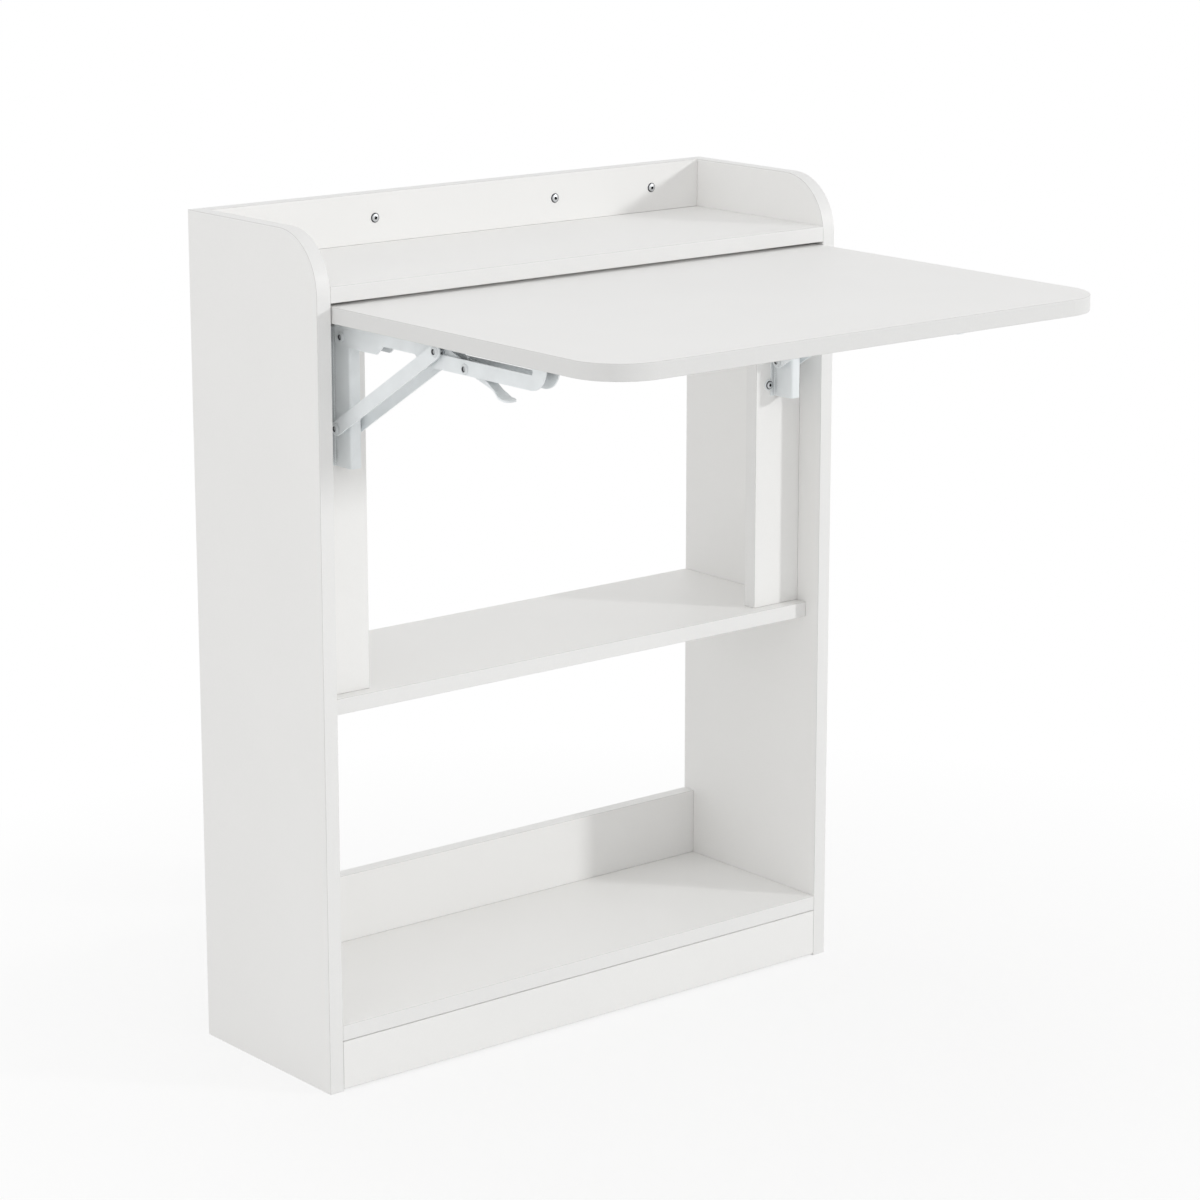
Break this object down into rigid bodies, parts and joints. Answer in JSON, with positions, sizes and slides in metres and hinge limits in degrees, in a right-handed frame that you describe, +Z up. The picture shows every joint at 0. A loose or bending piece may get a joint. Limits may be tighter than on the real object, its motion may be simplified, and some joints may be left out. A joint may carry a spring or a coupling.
{
  "type": "folding computer desk",
  "caption": "Shallow white board cabinet with open shelves and a drop-leaf desk top carried on folding brackets with release levers.",
  "frame": {"origin": "on the floor, under the middle of the whole desk with its leaf open", "axes": "+Z up, +X to the right seen from the front, +Y to the back, so the open leaf reaches towards -Y"},
  "size_m": [0.618, 0.59, 0.8],
  "materials": {
    "white_board": "satin white melamine-faced board",
    "white_steel": "white powder coat",
    "white_rivet": "white powder coat",
    "zinc_steel": "zinc plated",
    "spring_steel": "drawn wire",
    "beech": "fluted beech"
  },
  "bodies": {
    "cabinet": {"side_panel_left": "white_board", "side_panel_right": "white_board", "top_shelf": "white_board", "middle_shelf": "white_board", "bottom_shelf": "white_board", "plinth_board": "white_board", "upper_back_rail": "white_board", "lower_back_rail": "white_board", "bracket_post_left": "white_board", "bracket_post_right": "white_board", "wall_screws": "zinc_steel", "cam_nuts": "zinc_steel", "cam_bolts": "zinc_steel", "dowels": "beech", "wall_leg_left": "white_steel", "leg_screws_left": "zinc_steel", "arm_rivet_left": "white_rivet", "strut_rivet_left": "white_rivet", "wall_leg_right": "white_steel", "leg_screws_right": "zinc_steel", "arm_rivet_right": "white_rivet", "strut_rivet_right": "white_rivet"},
    "leaf": {"desk_top": "white_board", "arm_left": "white_steel", "arm_screws_left": "zinc_steel", "lever_rivet_left": "white_rivet", "lever_spring_left": "spring_steel", "arm_right": "white_steel", "arm_screws_right": "zinc_steel", "lever_rivet_right": "white_rivet", "lever_spring_right": "spring_steel"},
    "strut_left": {"strut_bar_left_outer": "white_steel", "strut_bar_left_inner": "white_steel", "strut_end_rivets_left": "white_rivet"},
    "studs_left": {"slide_studs_left": "zinc_steel"},
    "lever_left": {"release_lever_left": "white_steel"},
    "strut_right": {"strut_bar_right_outer": "white_steel", "strut_bar_right_inner": "white_steel", "strut_end_rivets_right": "white_rivet"},
    "studs_right": {"slide_studs_right": "zinc_steel"},
    "lever_right": {"release_lever_right": "white_steel"}
  },
  "joints": [
    {"name": "leaf_fold", "type": "hinge", "parent": "cabinet", "child": "leaf", "pos_m": [0, 0.106, 0.703], "axis": [1, 0, 0], "range_deg": [0, 87]},
    {"name": "strut_left_swing", "type": "hinge", "parent": "cabinet", "child": "strut_left", "pos_m": [-0.265, 0.1094, 0.62], "axis": [1, 0, 0], "range_deg": [0, 113.36]},
    {"name": "studs_left_slide", "type": "slide", "parent": "leaf", "child": "studs_left", "axis": [0, -1, 0], "range_m": [0, 0.1109]},
    {"name": "lever_left_press", "type": "hinge", "parent": "leaf", "child": "lever_left", "pos_m": [-0.265, -0.07547, 0.6998], "axis": [-1, 0, 0], "range_deg": [0, 12], "stiffness_Nm_per_rad": 0.12, "springref_deg": -22.92, "deforming": ["lever_spring_left"]},
    {"name": "strut_right_swing", "type": "hinge", "parent": "cabinet", "child": "strut_right", "pos_m": [0.265, 0.1094, 0.62], "axis": [1, 0, 0], "range_deg": [0, 113.36]},
    {"name": "studs_right_slide", "type": "slide", "parent": "leaf", "child": "studs_right", "axis": [0, -1, 0], "range_m": [0, 0.1109]},
    {"name": "lever_right_press", "type": "hinge", "parent": "leaf", "child": "lever_right", "pos_m": [0.265, -0.07547, 0.6998], "axis": [-1, 0, 0], "range_deg": [0, 12], "stiffness_Nm_per_rad": 0.12, "springref_deg": -22.92, "deforming": ["lever_spring_right"]}
  ],
  "couplings": [
    {"joint": "strut_left_swing", "follows": "leaf_fold", "ratio": 1.3024},
    {"joint": "studs_left_slide", "follows": "leaf_fold", "m_per_rad": 0.072953},
    {"joint": "strut_right_swing", "follows": "leaf_fold", "ratio": 1.3024},
    {"joint": "studs_right_slide", "follows": "leaf_fold", "m_per_rad": 0.072953}
  ]
}
